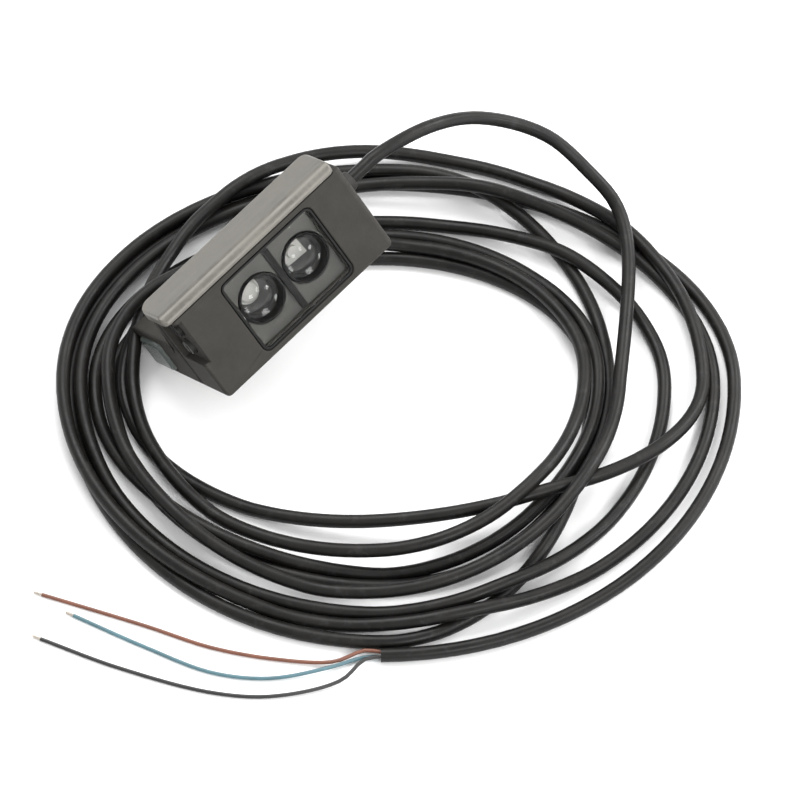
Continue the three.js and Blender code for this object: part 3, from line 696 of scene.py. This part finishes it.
def sheath_material(colour):
    """Cable sheath: satin PVC with drawn streaks, rubbed patches and dust."""
    made, tree, shader = blank_material("cable_sheath", 0.45)
    surface = use_group(tree, grain_group(), grain_scale=1900.0, blotch_scale=70.0, contrast=0.8)
    shader["Specular IOR Level"].default_value = 0.22
    dusty = use_group(tree, dust_group(), amount=0.02, patch_scale=90.0)["Mask"]
    rubs = ranged(tree, noise(tree, place_of(tree), 240.0, 5.0, 0.7), 0.56, 0.72)
    base = mixed(tree, surface["Shade"], shaded(colour, 0.72), shaded(colour, 1.3))
    pale = shaded([c + 0.02 for c in colour[:3]], 1.7)
    scuffed = mixed(tree, maths(tree, "MULTIPLY", rubs, 0.35), base, pale)
    tree.links.new(mixed(tree, dusty, scuffed, DUST), shader["Base Color"])
    tree.links.new(ranged(tree, surface["Shade"], 0.0, 1.0, 0.36, 0.56), shader["Roughness"])
    shader["Coat Weight"].default_value = 0.05
    shader["Coat Roughness"].default_value = 0.25
    relief(tree, shader, surface["Height"], 0.2, 0.00008)
    return made


def wire_material(name, colour):
    """Lead insulation: smooth soft PVC with faint marks from stripping."""
    made, tree, shader = blank_material(name, 0.38)
    surface = use_group(tree, grain_group(), grain_scale=2600.0, blotch_scale=140.0, contrast=0.6)
    dusty = use_group(tree, dust_group(), amount=0.03, patch_scale=200.0)["Mask"]
    base = mixed(tree, surface["Shade"], shaded(colour, 0.75), shaded(colour, 1.2))
    tree.links.new(mixed(tree, dusty, base, DUST), shader["Base Color"])
    tree.links.new(ranged(tree, surface["Shade"], 0.0, 1.0, 0.3, 0.48), shader["Roughness"])
    relief(tree, shader, surface["Height"], 0.15, 0.00004)
    return made


def clear_material(name, colour, roughness, ior=1.49):
    """Clear moulded plastic: faint flow marks and a film of dust in its gloss."""
    made, tree, shader = blank_material(name, roughness)
    shader["Transmission Weight"].default_value = 1.0
    shader["IOR"].default_value = ior
    surface = use_group(tree, grain_group(), grain_scale=900.0, blotch_scale=110.0, contrast=0.6)
    tint = mixed(tree, surface["Shade"], shaded(colour, 0.96), shaded(colour, 1.04))
    tree.links.new(tint, shader["Base Color"])
    dusty = use_group(tree, dust_group(), amount=0.04, patch_scale=160.0)["Mask"]
    gloss = ranged(tree, surface["Shade"], 0.0, 1.0, roughness * 0.6, roughness * 1.5)
    tree.links.new(maths(tree, "ADD", gloss, dusty, True), shader["Roughness"])
    relief(tree, shader, surface["Shade"], 0.05, 0.0001)
    return made


def board_material():
    """Circuit board: black mask over tracks, with tinned pads."""
    made, tree, shader = blank_material("circuit_board", 0.4)
    place = head_place(tree)
    inputs = {
        "Vector": place,
        "Scale": 320.0,
        "Mortar Size": 0.06,
        "Color1": (0.008, 0.011, 0.009, 1),
        "Color2": (0.012, 0.017, 0.014, 1),
        "Mortar": (0.03, 0.04, 0.034, 1),
    }
    bricks = add_node(tree, "TexBrick", None, inputs)
    cells = add_node(tree, "TexVoronoi", None, {"Vector": place, "Scale": 420.0}).outputs["Distance"]
    pads = ranged(tree, cells, 0.12, 0.1)
    coloured = mixed(tree, pads, bricks.outputs["Color"], (0.45, 0.45, 0.44, 1))
    surface = use_group(tree, grain_group(), grain_scale=2400.0, blotch_scale=200.0, contrast=0.5)
    film = maths(tree, "MULTIPLY", surface["Shade"], 0.2)
    tree.links.new(mixed(tree, film, coloured, DUST), shader["Base Color"])
    tree.links.new(ranged(tree, surface["Shade"], 0.0, 1.0, 0.3, 0.5), shader["Roughness"])
    relief(tree, shader, pads, 0.3, 0.00005)
    return made


LEAD_COLOURS = {
    "brown": (0.16, 0.055, 0.03),
    "blue": (0.075, 0.16, 0.19),
    "black": (0.012, 0.012, 0.012),
}


# ---- Head ------------------------------------------------------------------------------------


def soft_copy(name, node, width, material, extra=None, body=ROOT):
    """A copy of a CAD piece with its corners rounded over and its round faces shaded smooth.

    The width of the rounding is in mm, and extra(bm) adds further shapes to the mesh.
    """
    bm = bmesh.new()
    bm.from_mesh(frame["nodes"][node].data)
    bmesh.ops.remove_doubles(bm, verts=bm.verts, dist=1e-7)
    if extra:
        extra(bm)
    mesh = bpy.data.meshes.new(name)
    bm.to_mesh(mesh)
    bm.free()
    for polygon in mesh.polygons:
        polygon.use_smooth = True
    mesh.set_sharp_from_angle(angle=SHARP)
    copy = link(bpy.data.objects.new(name, mesh))
    mesh.materials.append(material)
    bevel = copy.modifiers.new("rounded_edges", "BEVEL")
    bevel.width = width * MM
    bevel.segments = 3
    bevel.limit_method = "ANGLE"
    bevel.angle_limit = SHARP
    bevel.use_clamp_overlap = False
    flat = copy.modifiers.new("flat_faces", "WEIGHTED_NORMAL")
    flat.keep_sharp = True
    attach(copy, body)
    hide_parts(node)
    return copy


TURNED_SIDES = 48


def turned(bm, profile, centre, axis):
    """A closed ring or disc turned from (radius, distance) pairs in mm about an axis of the head."""
    turn_to = Vector((0, 0, 1)).rotation_difference(Vector(axis)).to_matrix()
    rings = []
    for i in range(TURNED_SIDES):
        angle = math.tau * i / TURNED_SIDES
        ring = []
        for radius, distance in profile:
            local = turn_to @ Vector((radius * math.cos(angle), radius * math.sin(angle), distance))
            ring.append(bm.verts.new(on_head(*(Vector(centre) + local))))
        rings.append(ring)
    for a, b in zip(rings, rings[1:] + rings[:1]):
        for k in range(len(profile)):
            following = (k + 1) % len(profile)
            bm.faces.new((a[k], b[k], b[following], a[following]))


def ridged(rings, base, rise):
    """A stepped baffle profile: pairs that climb outwards by small steps."""
    inner, outer = rings
    steps = 4
    profile = []
    for i in range(steps):
        radius = inner + (outer - inner) * i / steps
        following = inner + (outer - inner) * (i + 1) / steps
        level = base + rise * i / steps
        profile += [(radius, level), (following, level)]
    return [*profile, (outer, base + rise), (outer, base + rise + 0.5), (inner, base + rise + 0.5)]


def finish_nodes(names, material):
    """CAD pieces whose shape is right keep it, and get their own material."""
    for name in names:
        piece = frame["nodes"][name]
        piece.data.materials.clear()
        piece.data.materials.append(material)


class SENSOR_OT_housing(bpy.types.Operator):
    """Round over the two housing halves, the seal between them and the side bar"""

    bl_idname = "sensor.housing"
    bl_label = "Housing"

    def execute(self, context):
        settings = context.scene.sensor_head
        moulded = moulded_material(
            "moulded_housing", settings.housing, 0.62, wear=settings.wear, shine=0.12
        )
        for node, name in (("front_housing", "lens_housing"), ("rear_cover", "amplifier_box")):
            soft_copy(name, node, settings.rounding / MM, moulded)
        seal = moulded_material("seal_rubber", (0.011, 0.011, 0.011), 0.75, depth=0.3, wear=0, dust=0.06)
        soft_copy("housing_gasket", "housing_seal", 0.12, seal)
        bar = soft_copy("satin_side_bar", "side_bar", 0.3, bar_material(settings.bar))
        return {"FINISHED"}


class SENSOR_OT_fixings(bpy.types.Operator):
    """Finish the screws and the threaded inserts"""

    bl_idname = "sensor.fixings"
    bl_label = "Fixings"

    def execute(self, context):
        zinc = metal_material("zinc_plate", (0.5, 0.5, 0.49), 0.34)
        for i in range(1, 5):
            soft_copy(f"cross_head_screw_{i}", f"housing_screw_{i}", 0.12, zinc)
        brass = metal_material("turned_brass", (0.62, 0.42, 0.16), 0.3)
        for i in (1, 2):
            insert = soft_copy(f"threaded_insert_{i}", f"mounting_insert_{i}", 0.15, brass)
        return {"FINISHED"}


# Along X and Z of the head, and from one lens's axis to the other's, in millimetres.
WINDOW_MIDDLE = (34.4, 15.0)
LENS_PITCH = 17.2


class SENSOR_OT_window(bpy.types.Operator):
    """Make the window, its rim, the two wells with their stepped baffles and the lenses"""

    bl_idname = "sensor.window"
    bl_label = "Lens window"

    def execute(self, context):
        settings = context.scene.sensor_head
        rubber = moulded_material("window_seal_rubber", (0.005, 0.005, 0.005), 0.6, wear=0, dust=0.0)
        soft_copy("window_seal", "window_gasket", 0.15, rubber)
        clear = clear_material("clear_pane", (0.95, 0.95, 0.945), 0.02, 1.16)
        soft_copy("window_pane", "front_window", 0.2, clear)
        grey = moulded_material("rim_plastic", settings.rim, 0.42, depth=0.15, wear=0.2, dust=0.0)
        soft_copy("lens_rim", "inner_bezel", 0.3, grey)
        black = moulded_material("optic_black", (0.004, 0.004, 0.0038), 0.5, depth=0.2, wear=0.1, dust=0.0)
        holder = soft_copy("baffled_lens_holder", "lens_holder", 0.12, black, self.baffles)
        glass = clear_material("lens_plastic", (0.92, 0.925, 0.92), 0.015, 1.46)
        for node in ("emitter_lens", "receiver_lens"):
            soft_copy(f"clear_{node}", node, 0.15, glass)
        return {"FINISHED"}

    def baffles(self, bm):
        """A stepped ring round each lens and a low wall between the two wells."""
        x, z = WINDOW_MIDDLE
        for side in (-1, 1):
            centre = (x + side * LENS_PITCH / 2, 0, z)
            turned(bm, ridged((5.0, 6.3), 7.0, -0.4), centre, (0, 1, 0))
            turned(bm, [(6.75, 2.1), (7.3, 2.1), (7.3, 2.85), (6.75, 2.85)], centre, (0, 1, 0))
        wall = ((x - 1.05, x + 1.05), (1.9, 2.62), (z - 11, z + 11))
        corners = [bm.verts.new(on_head(*corner)) for corner in itertools.product(*wall)]
        bmesh.ops.convex_hull(bm, input=corners)


class SENSOR_OT_controls(bpy.types.Operator):
    """Finish the adjuster, the mode selector, their seals and what they turn"""

    bl_idname = "sensor.controls"
    bl_label = "Controls"

    def execute(self, context):
        knob = moulded_material("adjuster_plastic", (0.014, 0.0135, 0.013), 0.4, depth=0.15, wear=0.5)
        grey = moulded_material("selector_plastic", (0.03, 0.03, 0.028), 0.42, depth=0.15, wear=0.5)
        for node, name, made, body, slot in (
            ("sensitivity_adjuster", "sensitivity_knob", knob, "adjuster", "knob"),
            ("mode_selector", "mode_knob", grey, "selector", "selector"),
        ):
            soft_copy(name, node, 0.15, made, body=body)
        rubber = moulded_material("control_seal_rubber", (0.012, 0.012, 0.012), 0.7, wear=0, dust=0.02)
        finish_nodes(("adjuster_seal", "selector_seal"), rubber)
        body = moulded_material("switch_body", (0.02, 0.035, 0.06), 0.45, depth=0.15, wear=0.3, dust=0.0)
        finish_nodes(("adjuster_potentiometer", "selector_switch"), body)
        return {"FINISHED"}


class SENSOR_OT_indicators(bpy.types.Operator):
    """Finish the indicator window at the box's end and its two lamps"""

    bl_idname = "sensor.indicators"
    bl_label = "Indicators"

    def execute(self, context):
        settings = context.scene.sensor_head
        smoke = moulded_material(
            "indicator_plastic", settings.indicator, 0.22, depth=0.08, wear=0.3, dust=0.05
        )
        smoke.node_tree.nodes["Principled BSDF"].inputs["Transmission Weight"].default_value = 0.35
        soft_copy("indicator_cover", "indicator_window", 0.5, smoke)
        finish_nodes(("stability_led",), clear_material("green_epoxy", (0.1, 0.5, 0.15), 0.1))
        finish_nodes(("output_led",), clear_material("orange_epoxy", (0.8, 0.3, 0.05), 0.1))
        return {"FINISHED"}


class SENSOR_OT_electronics(bpy.types.Operator):
    """Finish the boards and the parts on them"""

    bl_idname = "sensor.electronics"
    bl_label = "Electronics"

    def execute(self, context):
        finish_nodes(("optics_board", "main_board"), board_material())
        # The emitter and photodiode resin is painted near white. This is partly the resin's colour and
        # partly a painted highlight, which shows as bright glints in the two lens wells.
        epoxy_and_glint = moulded_material(
            "lamp_epoxy_painted_glint", (0.86, 0.84, 0.8), 0.12, depth=0.05, wear=0, dust=0.0, shine=0.5
        )
        finish_nodes(("emitter_led", "photodiode"), epoxy_and_glint)
        chip = moulded_material("chip_epoxy", (0.012, 0.012, 0.013), 0.45, depth=0.2, wear=0.2, dust=0.0)
        finish_nodes(("amplifier_chip", "output_transistor"), chip)
        finish_nodes(("preamp_shield",), metal_material("tinned_shield", (0.6, 0.6, 0.59), 0.3))
        can = metal_material("aluminium_can", (0.62, 0.63, 0.64), 0.36)
        finish_nodes(("filter_capacitor",), can)
        nylon = moulded_material("connector_nylon", (0.6, 0.57, 0.48), 0.5, depth=0.15, wear=0.1, dust=0.0)
        finish_nodes(("board_connector",), nylon)
        for colour, paint in LEAD_COLOURS.items():
            finish_nodes((f"inner_{colour}_wire",), wire_material(f"inner_{colour}_insulation", paint))
        return {"FINISHED"}


class SENSOR_OT_cable_entry(bpy.types.Operator):
    """Turn the ribbed bush where the cable leaves the head, and finish its clamp"""

    bl_idname = "sensor.cable_entry"
    bl_label = "Cable entry"

    def execute(self, context):
        rubber = moulded_material("bush_rubber", (0.016, 0.015, 0.014), 0.62, wear=0.3, dust=0.08)
        bush = soft_copy("cable_gland", "cable_bush", 0.2, rubber, self.ribs)
        finish_nodes(("cable_clamp",), metal_material("clamp_steel", (0.5, 0.5, 0.5), 0.38))
        return {"FINISHED"}

    def ribs(self, bm):
        """Two shallow ribs round the bush's nose."""
        for along in (0.5, 1.3):
            outer = 3.35 - along * 0.28
            profile = [(2.35, along), (outer, along), (outer, along + 0.4), (2.35, along + 0.4)]
            turned(bm, profile, CABLE_EXIT, (1, 0, 0))


# ---- Registration ----------------------------------------------------------------------------


class SENSOR_PT_panel(bpy.types.Panel):
    """Settings and build steps of the sensor"""

    bl_idname = "SENSOR_PT_panel"
    bl_label = "Sensor"
    bl_space_type = "VIEW_3D"
    bl_region_type = "UI"
    bl_category = "Sensor"

    def draw(self, context):
        for group in SETTINGS:
            settings = getattr(context.scene, group)
            for name in settings.__annotations__:
                self.layout.prop(settings, name)
        for operator in OPERATORS:
            self.layout.operator(operator.bl_idname)


OPERATORS = (
    SENSOR_OT_stage,
    SENSOR_OT_cable,
    SENSOR_OT_leads,
    SENSOR_OT_housing,
    SENSOR_OT_fixings,
    SENSOR_OT_window,
    SENSOR_OT_controls,
    SENSOR_OT_indicators,
    SENSOR_OT_electronics,
    SENSOR_OT_cable_entry,
)
SETTINGS = {
    "sensor_cable": SensorCableSettings,
    "sensor_head": SensorHeadSettings,
    "sensor_stage": SensorStageSettings,
}
CLASSES = (*SETTINGS.values(), *OPERATORS, SENSOR_PT_panel)


def register():
    for cls in CLASSES:
        bpy.utils.register_class(cls)
    for name, cls in SETTINGS.items():
        setattr(bpy.types.Scene, name, PointerProperty(type=cls))


def unregister():
    for name in SETTINGS:
        delattr(bpy.types.Scene, name)
    for cls in reversed(CLASSES):
        bpy.utils.unregister_class(cls)


def main():
    register()
    for operator in OPERATORS:
        group, name = operator.bl_idname.split(".")
        getattr(getattr(bpy.ops, group), name)()


if __name__ == "__main__":
    main()
